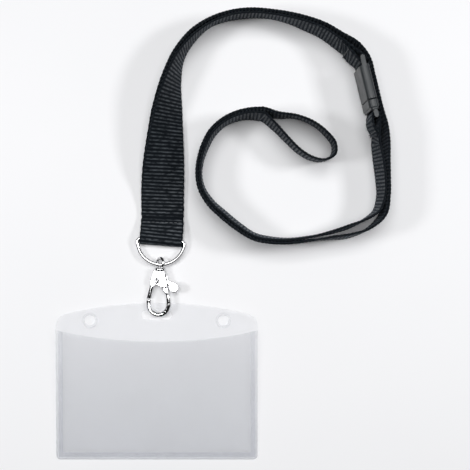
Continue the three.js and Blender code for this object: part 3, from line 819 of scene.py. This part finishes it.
def add_swivel():
    matrix = frame_at(*CLASP_AT, AXIS_HEIGHT, CLASP_TURN)
    circle = arc_points((0, 0), EYE["radius"], 0, 360, 65)[:-1]
    eye = tube(circle, 2 * EYE["wire"], 2 * EYE["wire"], 20, closed=True)
    lean = Matrix.Rotation(math.radians(EYE["roll"] - 90), 4, "Y")
    lean = Matrix.Translation((0, EYE["y"] * MM, 0)) @ lean
    stem = [(0, -6.8), (0.95, -6.8), (1.05, -6.7), (1.05, -6.2), (0.9, -6.1), (0.9, -4.1)]
    flange = [(2.35, -4.1), (2.62, -4.0), (2.7, -3.75), (2.7, -3.45), (2.6, -3.2), (2.3, -3.05)]
    profile = [*stem, *flange, (1.5, -2.85), (0.9, -2.5), (0, -2.4)]
    swivel = fused("swivel_eye_body", [moved(eye, lean), lathe(profile)], matrix, 0.1, 5)
    finish_piece(swivel, CHROME, "swivel", "bright_metal", "swivel_eye")


def clasp_matrix():
    return frame_at(*CLASP_AT, AXIS_HEIGHT, CLASP_TURN, 0, CLASP_ROLL)


def bow_sizes(points, size):
    """The hook wire's width or height at each point: tapered on the side that leaves the body."""
    return [np.interp(-y, BOW["below"], BOW[size]) if x > 0 else BOW[size][1] for x, y in points]


def add_clasp():
    arch = curve_through([(3.3, -14.6), (2.9, -13.7), (2.35, -12.9), (1.5, -11.9), (0, -11.05)], 6)
    arch += curve_through([(0, -11.05), (-1, -10.75), (-1.8, -10.6)], 4)[1:]
    right = curve_through([(2.6, -4.4), (3.15, -6.5), (3.75, -9), (4.35, -11.8), (4.95, -14.6)], 5)
    body = [(-2.6, -4.4), (-3.3, -7), (-4.2, -10.4), *arch[::-1], *right[::-1]]
    bow = [(3.75, -12.5), (4.3, -15), (4.8, -17.5), (4.95, -20), (4.2, -22.2), (2.4, -24)]
    bow += [(-0.2, -24.6), (-2.9, -23.7), (-4.6, -21.8), (-5.05, -19.6), (-4.95, -17.9)]
    lever_slot = [(-6, -7.6), (-6, -15), (1.6, -15), (2, -10.9)]
    lever_slot += [(6, -10.9), (6, -5.7), (2.9, -5.7), (1, -7.6)]
    slot = prism(lever_slot, -0.8, 0.8)
    stem = lathe([(0, -6.5), (1.15, -6.5), (1.15, -4), (0, -4)])
    head = lathe([(0, -7.1), (1.15, -7.1), (1.15, -5.8), (0, -5.8)])
    pin = pin_along_z(PIN_RADIUS + GAP_ROUND_PIN["clasp"], -THROUGH, THROUGH, *PIN)
    bend = curve_through(bow, 8)
    widths, heights = bow_sizes(bend, "width"), bow_sizes(bend, "height")
    face = [(-2.6, -4.4), (-3.3, -7), (-4.2, -10.4), (-1, -10.75)]
    face += [(1.4, -11.8), (4.3, -11.6), (3.75, -9), (2.6, -4.4)]
    core = [prism(body, -CLASP["body"], CLASP["body"]), prism(face, -CLASP["face"], CLASP["face"])]
    core.append(tube(bend, widths, heights))
    door = block(-1.55, 1.55, -7.1, -5.8, -THROUGH, 0)
    flute = [(1.9, -9.2), (3.4, -13.1), (3.9, -12.8), (2.45, -9), (1.5, -4.8), (0.95, -4.8)]
    crease = prism(flute, CLASP["crease"], THROUGH)
    cuts = [slot, stem, head, door, pin, crease]
    clasp = fused("clasp_casting", core, clasp_matrix(), 0.11, 10, cuts)
    finish_piece(clasp, CHROME, "clasp", "bright_metal", "clasp_hook")

    profile = [(0, -PIN_END), (0.55, -PIN_END), (PIN_RADIUS, -PIN_END + 0.15)]
    profile += [(PIN_RADIUS, PIN_END - 0.15), (0.66, PIN_END - 0.03), (0.5, PIN_END)]
    profile += [(0.42, PIN_END - 0.12), (0, PIN_END - 0.14)]
    upright = Matrix.Rotation(math.radians(90), 4, "X")
    upright = Matrix.Translation((PIN[0] * MM, PIN[1] * MM, 0)) @ upright
    rivet = make_object("trigger_rivet", *lathe(profile, 40))
    rivet.data.transform(clasp_matrix() @ upright)
    finish_piece(rivet, CHROME, "clasp", "bright_metal", "trigger_pin")

    per_turn = 32
    coil = []
    for i in range(COIL["turns"] * per_turn + 1):
        angle = 2 * math.pi * i / per_turn
        x = PIN[0] + COIL["radius"] * math.cos(angle)
        y = PIN[1] + COIL["radius"] * math.sin(angle)
        coil.append((x, y, COIL["start"] + COIL["rise"] * i / per_turn))
    spring = make_object("trigger_coil", *tube(coil, COIL["wire"], COIL["wire"], 10))
    spring.data.transform(clasp_matrix())
    finish_piece(spring, STEEL, "clasp", "spring_steel", "trigger_spring")


def add_trigger():
    shoulder = [(-2.05, -8.7), (-1.6, -8.05), (-0.83, -7.8), (0.1, -8.1), (0.9, -8.7), (4, -8.5)]
    top = curve_through(shoulder, 5)
    tab = [(4, -8.5), (6.4, -9.2), (8.2, -9.8), (9.3, -10.7)]
    tab += [(9.6, -11.8), (9.2, -13), (8.2, -13.7), (6.4, -13.7)]
    thumb = curve_through(tab, 6)[1:]
    below = [(5.2, -12.6), (4.9, -10.6), (4, -10.2), (0.4, -10), (-1.6, -10.6), (-2.7, -11.6)]
    gate = [(-3.9, -17.3), (-5.75, -17.3), (-4.3, -10.9)]
    outline = [*top, *thumb, *below, *gate][::-1]
    bore = pin_along_z(PIN_RADIUS + GAP_ROUND_PIN["lever"], -THROUGH, THROUGH, *PIN)
    recess = pin_along_z(1.25, 0.1, THROUGH, *PIN)
    gate_bar = tube([(-3.5, -11.4), (-4.15, -14.3), (-4.83, -17.2)], 1.9, 1.7)
    parts = [prism(outline, -CLASP["lever"], CLASP["lever"]), gate_bar]
    lever = fused("trigger_casting", parts, clasp_matrix(), 0.1, 5, [bore, recess])
    finish_piece(lever, CHROME, "trigger", "bright_metal", "trigger_lever")


# ---- Buckle, in millimetres: x runs along the strap, y up, z to the inside of the loop ----
ARM = {"end_radius": 1.05, "thick": 1.1}
BAR_INSET = 0.5
CAVITY = {"depth": 9.6, "half_width": 8.6, "half_height": 1.35}
TONGUES = ((-6.9, 1.3), (0, 3), (6.9, 1.3))  # the middle and half width of each
TONGUE_REACH = 9.0
SHELL_ROUNDING = 1.9
COLLAR = {"length": 3.5, "step_end": 4.6, "step_rounding": 1.3}


def buckle_matrix():
    return frame_at(BUCKLE["x"], BUCKLE["y"], BUCKLE["height"] / 2, BUCKLE["heading"], 90)


def rounded_bar(height, thickness, x0, x1, round_by):
    h, t = height / 2, thickness / 2
    cx, cy = t - round_by, h - round_by
    section = []
    for corner, angle in (((cx, cy), 0), ((-cx, cy), 90), ((-cx, -cy), 180), ((cx, -cy), 270)):
        section += arc_points(corner, round_by, angle, angle + 90, 9)
    return moved(prism(section, x0, x1), Matrix.Rotation(math.radians(90), 4, "Y"))


def strap_frame(bar_at, x0, x1):
    """Two rounded arms that hold a bar for the strap, at both ends of the buckle's height."""
    h = BUCKLE["height"] / MM / 2
    end, thick = ARM["end_radius"], ARM["thick"]
    outline = arc_points((x1 - end, 0), end, -90, 90, 11) + arc_points((x0 + end, 0), end, 90, 270, 11)
    to_side = Matrix.Rotation(math.radians(90), 4, "X")
    bar_end, radius = h - BAR_INSET, BAR["radius"] / MM
    bar = lathe([(0, -bar_end), (radius, -bar_end), (radius, bar_end), (0, bar_end)])
    arms = [moved(prism(outline, *span), to_side) for span in ((-h, thick - h), (h - thick, h))]
    return [*arms, moved(bar, Matrix.Translation((bar_at * MM, 0, 0)))]


def add_buckle():
    height, thickness = BUCKLE["height"] / MM, BUCKLE["thickness"] / MM
    socket, mouth = SOCKET_LENGTH / MM, MOUTH / MM
    y, z = CAVITY["half_width"], CAVITY["half_height"]
    cavity = block(socket - CAVITY["depth"], socket + 1, -y, y, -z, z)
    shell = [rounded_bar(height, thickness, 0, socket, SHELL_ROUNDING)]
    shell += strap_frame(BAR["socket"] / MM, -4.7, 0.5)
    body = fused("buckle_socket_body", shell, buckle_matrix(), 0.16, 2, [cavity])
    finish_piece(body, PLASTIC, "strap", "buckle", "buckle_socket")

    tip, root, bar_at = mouth - TONGUE_REACH, mouth + 0.5, BAR["plug"] / MM
    parts = [block(tip, root, middle - half, middle + half, -1, 1) for middle, half in TONGUES]
    parts.append(block(mouth - 1.6, root, -8.2, 8.2, -1, 1))
    step, step_end = mouth + COLLAR["length"], mouth + COLLAR["step_end"]
    parts.append(rounded_bar(height, thickness, mouth, step, SHELL_ROUNDING))
    rounding = COLLAR["step_rounding"]
    parts.append(rounded_bar(height - 0.6, thickness - 1, step - 0.1, step_end, rounding))
    parts += strap_frame(bar_at, step_end - 0.1, bar_at + 1.3)
    plug = fused("buckle_plug_body", parts, buckle_matrix(), 0.16, 2)
    finish_piece(plug, PLASTIC, "plug", "buckle", "buckle_plug")


# ---- Badge holder, in millimetres about the middle of its slot strip ----
HOLDER_AT = (-0.00246, -0.02895)
HOLDER_TILT = 2.0
HOLDER = {"half": 46.6, "bottom": -70.85, "top": 1.85, "sheet": 0.4, "arch": 176, "corner": 2}
# The sides curve in to the arch: how far in they meet it, and how far down they start and are pulled to.
SHOULDER = {"in": 5.8, "start": 11.2, "pull": 6}
POCKET = {"lift": 0.75, "edge_middle": -15.97, "edge_radius": 214}
WELD = {"from": 1.2, "to": 3.2, "knurl": 0.75}
SLOT = {"width": 14, "top": -1.85, "bottom": -5.75}
HOLES = {"x": 30.8, "y": -6.2, "radius": 2.45, "rim": 3.55, "rim_height": 0.3}


def holder_matrix():
    return frame_at(*HOLDER_AT, AXIS_HEIGHT, 0, HOLDER_TILT)


def back_outline():
    w, bottom, top = HOLDER["half"], HOLDER["bottom"], HOLDER["top"]
    arch, corner = HOLDER["arch"], HOLDER["corner"]
    meets = w - SHOULDER["in"]
    swing = math.degrees(math.asin(meets / arch))
    start, pull = top - SHOULDER["start"], top - SHOULDER["pull"]
    end = top - arch * (1 - math.cos(math.radians(swing)))
    right = []
    for i in range(13):
        t = i / 12
        x = (1 - t) ** 2 * w + 2 * t * (1 - t) * w + t**2 * meets
        y = (1 - t) ** 2 * start + 2 * t * (1 - t) * pull + t**2 * end
        right.append((x, y))
    arc = arc_points((0, top - arch), arch, 90 - swing, 90 + swing, 61)[1:-1]
    left = [(-x, y) for x, y in right[::-1]]
    corners = arc_points((-w + corner, bottom + corner), corner, 180, 270, 9)
    corners += arc_points((w - corner, bottom + corner), corner, 270, 360, 9)
    return [*corners, *right, *arc, *left]


def flat_sheet(name, outline, holes, z0, z1, bevel):
    """A flat sheet with holes, its edges rounded a little."""
    curve = bpy.data.curves.new(name, "CURVE")
    curve.dimensions = "2D"
    curve.fill_mode = "BOTH"
    curve.extrude = ((z1 - z0) / 2 - bevel) * MM
    curve.bevel_depth = bevel * MM
    curve.bevel_resolution = 2
    curve.offset = -bevel * MM
    for points in (outline, *holes):
        spline = curve.splines.new("POLY")
        spline.points.add(len(points) - 1)
        for point, (x, y) in zip(spline.points, points):
            point.co = (x * MM, y * MM, 0, 1)
        spline.use_cyclic_u = True
    holder = bpy.data.objects.new(name, curve)
    scene.collection.objects.link(holder)
    graph = bpy.context.evaluated_depsgraph_get()
    mesh = bpy.data.meshes.new_from_object(holder.evaluated_get(graph))
    bpy.data.objects.remove(holder)
    edit = bmesh.new()
    edit.from_mesh(mesh)
    bmesh.ops.remove_doubles(edit, verts=edit.verts, dist=1e-6)
    bmesh.ops.recalc_face_normals(edit, faces=edit.faces)
    edit.to_mesh(mesh)
    edit.free()
    mesh.transform(Matrix.Translation((0, 0, (z0 + z1) / 2 * MM)))
    made = bpy.data.objects.new(name, mesh)
    scene.collection.objects.link(made)
    return made


def add_back_sheet():
    sheet = HOLDER["sheet"]
    radius = (SLOT["top"] - SLOT["bottom"]) / 2
    reach, middle = SLOT["width"] / 2 - radius, SLOT["bottom"] + radius
    slot = arc_points((reach, middle), radius, -90, 90, 13)
    slot += arc_points((-reach, middle), radius, 90, 270, 13)
    centres = [(side * HOLES["x"], HOLES["y"]) for side in (-1, 1)]
    holes = [arc_points(centre, HOLES["radius"], 0, 360, 49)[:-1] for centre in centres]
    back = flat_sheet("holder_back_sheet", back_outline(), [slot, *holes], -sheet / 2, sheet / 2, 0.08)
    back.data.transform(holder_matrix())
    finish_piece(back, CLEAR_BACK, "badge", "clear_sheet", "badge_back")
    rim_from, rim_to = sheet / 2 + 0.01, sheet / 2 + HOLES["rim_height"]
    for side, centre, inner in zip(("left", "right"), centres, holes):
        outer = arc_points(centre, HOLES["rim"], 0, 360, 65)[:-1]
        rim = flat_sheet(f"holder_rim_{side}", outer, [inner], rim_from, rim_to, 0.12)
        rim.data.transform(holder_matrix())
        rim.data.shade_smooth()
        rim.data.materials.append(CLEAR_BACK)
        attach(rim, "badge")


def pocket_rise(edge_distance):
    """How far the front sheet stands off the back: down at the weld, up over the card's space."""
    t = min(max((edge_distance - 3.3) / 2.2, 0), 1)
    return t * t * (3 - 2 * t)


def add_front_sheet():
    """The front of the pocket, a grid of two layers whose upper edge dips in the middle."""
    w, bottom, sheet, corner = (HOLDER[key] for key in ("half", "bottom", "sheet", "corner"))
    fine = [0, 0.25, 0.6, 1.0, 1.3, 1.55, 1.8, 2.05, 2.3, 2.55, 2.8, 3.05, 3.3, 3.7, 4.2, 4.8, 5.5]
    across = [*fine, *np.linspace(6.5, 2 * w - 6.5, 84), *[2 * w - d for d in fine[::-1]]]
    centre_y = POCKET["edge_middle"] + POCKET["edge_radius"]
    upper, lower, weld = [], [], []
    for d in across:
        x = d - w
        span = centre_y - math.sqrt(POCKET["edge_radius"] ** 2 - x**2) - bottom
        steps = [*fine, *np.linspace(6.5, span - 1.2, 56), span - 0.5, span - 0.15, span]
        for up in steps:
            inset = corner - math.sqrt(max(corner**2 - (corner - up) ** 2, 0)) if up < corner else 0
            here = max(min(x, w - inset), -w + inset)
            side = min(w - abs(x), up)
            band = 1.0 if WELD["from"] <= side <= WELD["to"] else 0.0
            knurl = 0.05 * math.sin(side * 2 * math.pi / WELD["knurl"]) * band
            ripple = 0.08 * noise.noise(Vector((x * 0.06, up * 0.07, 3.1)))
            z = sheet / 2 + 0.03 + (POCKET["lift"] + ripple) * pocket_rise(side)
            thick = sheet - 0.1 * band + knurl
            lower.append((here * MM, (bottom + up) * MM, z * MM))
            upper.append((here * MM, (bottom + up) * MM, (z + thick) * MM))
            weld.append(band)
    columns = len(across)
    count = len(weld)
    rows = count // columns
    faces = []
    for i in range(columns - 1):
        for k in range(rows - 1):
            a, b, c, d = i * rows + k, (i + 1) * rows + k, (i + 1) * rows + k + 1, i * rows + k + 1
            faces.append((a, b, c, d))
            faces.append((count + d, count + c, count + b, count + a))
    border = [*range(rows), *[i * rows + rows - 1 for i in range(1, columns)]]
    border += [(columns - 1) * rows + k for k in range(rows - 2, -1, -1)]
    border += [i * rows for i in range(columns - 2, 0, -1)]
    for a, b in zip(border, border[1:] + border[:1]):
        faces.append((a, b, count + b, count + a))
    front = make_object("holder_front_sheet", upper + lower, faces)
    layer = front.data.attributes.new("weld", "FLOAT", "POINT")
    layer.data.foreach_set("value", np.array(weld + weld, np.float32))
    front.data.transform(holder_matrix())
    finish_piece(front, CLEAR_FRONT, "badge", "clear_sheet", "badge_front")


# ---- Table and light ----
def add_table():
    table = make_object("floor", [(-2, -2, 0), (2, -2, 0), (2, 2, 0), (-2, 2, 0)], [(0, 1, 2, 3)])
    look = Look("table", Roughness=0.9)
    cloud = look.noise(look.place(), 9.0, 2.0)
    look.to("Base Color", look.mix(cloud, (0.84, 0.845, 0.86), (0.88, 0.88, 0.89)))
    table.data.materials.append(look.material)


def add_light(name, location, target, size, power, color=(1, 1, 1)):
    data = bpy.data.lights.new(name, "AREA")
    data.shape = "SQUARE"
    data.size = size
    data.energy = power
    data.color = color
    light = bpy.data.objects.new(name, data)
    light.location = location
    light.rotation_euler = (Vector(target) - Vector(location)).to_track_quat("-Z", "Y").to_euler()
    scene.collection.objects.link(light)


def add_lights():
    add_light("ceiling", (0.0, 0.22, 1.15), (0, 0, 0), 0.7, 10.3)
    cool = (0.99, 0.99, 1.0)
    add_light("left_lamp", (-0.34, 0.01, 0.4), (-0.05, 0, 0), 0.1, 0.72, cool)
    add_light("right_lamp", (0.4, 0.09, 0.4), (0.05, 0, 0), 0.1, 0.95, cool)
    world = bpy.data.worlds.new("room")
    world.use_nodes = True
    nodes, links = world.node_tree.nodes, world.node_tree.links
    direction = nodes.new("ShaderNodeTexCoord").outputs["Generated"]
    toward = nodes.new("ShaderNodeVectorMath")
    toward.operation = "DOT_PRODUCT"
    toward.inputs[1].default_value = Vector((-0.3, 0.5, 0.62)).normalized()
    links.new(direction, toward.inputs[0])
    spread = nodes.new("ShaderNodeMapRange")
    for key, value in {"From Min": 0.64, "From Max": 0.82, "To Min": 0.0, "To Max": 0.9}.items():
        spread.inputs[key].default_value = value
    links.new(toward.outputs["Value"], spread.inputs["Value"])
    links.new(spread.outputs[0], nodes["Background"].inputs["Strength"])
    scene.world = world
    scene.view_settings.view_transform = "Standard"


add_strap()
add_ring()
add_swivel()
add_clasp()
add_trigger()
add_buckle()
add_back_sheet()
add_front_sheet()
add_table()
add_lights()
